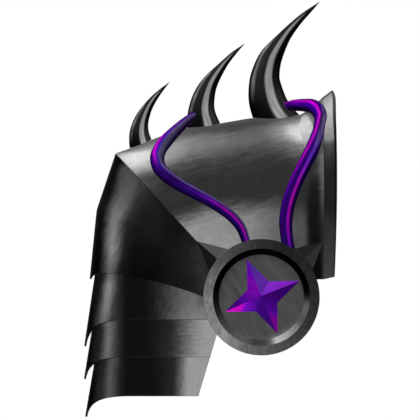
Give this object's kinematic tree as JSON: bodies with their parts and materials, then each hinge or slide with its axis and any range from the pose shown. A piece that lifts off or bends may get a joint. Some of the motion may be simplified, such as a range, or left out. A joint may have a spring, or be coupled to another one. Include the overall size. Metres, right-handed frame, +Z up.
{
  "type": "armour pauldron",
  "caption": "Plate pauldron for a right shoulder: shoulder and arm plates, flared neck rim, arm lames, curved horns, bent rods and a roundel with a faceted star.",
  "frame": {"origin": "the seat: the highest point of the wearer's shoulder, against the inside of the shoulder plate", "axes": "+Z up, -Y to the wearer's front, +X towards the wearer's neck"},
  "size_m": [0.2533, 0.2237, 0.4135],
  "materials": {
    "bright_steel": "brushed and burnished, with darkened areas",
    "dark_steel": "darkened, brushed, with burnished stripes",
    "black_steel": "blackened, glossy",
    "violet_lacquer": "glossy violet lacquer with a magenta sheen",
    "roundel_steel": "mottled satin grey"
  },
  "bodies": {
    "root": {"shoulder_plate": "bright_steel", "neck_flange": "bright_steel", "arm_plate": "dark_steel", "lame_upper": "dark_steel", "lame_middle": "dark_steel", "lame_lower": "dark_steel", "horn_small": "black_steel", "horn_middle": "black_steel", "horn_large": "black_steel", "rod_left": "violet_lacquer", "rod_right": "violet_lacquer", "roundel_ring": "roundel_steel", "roundel_disc": "roundel_steel", "star_boss": "violet_lacquer", "spike_left": "roundel_steel", "spike_right": "roundel_steel", "roundel_post": "dark_steel"}
  },
  "joints": []
}
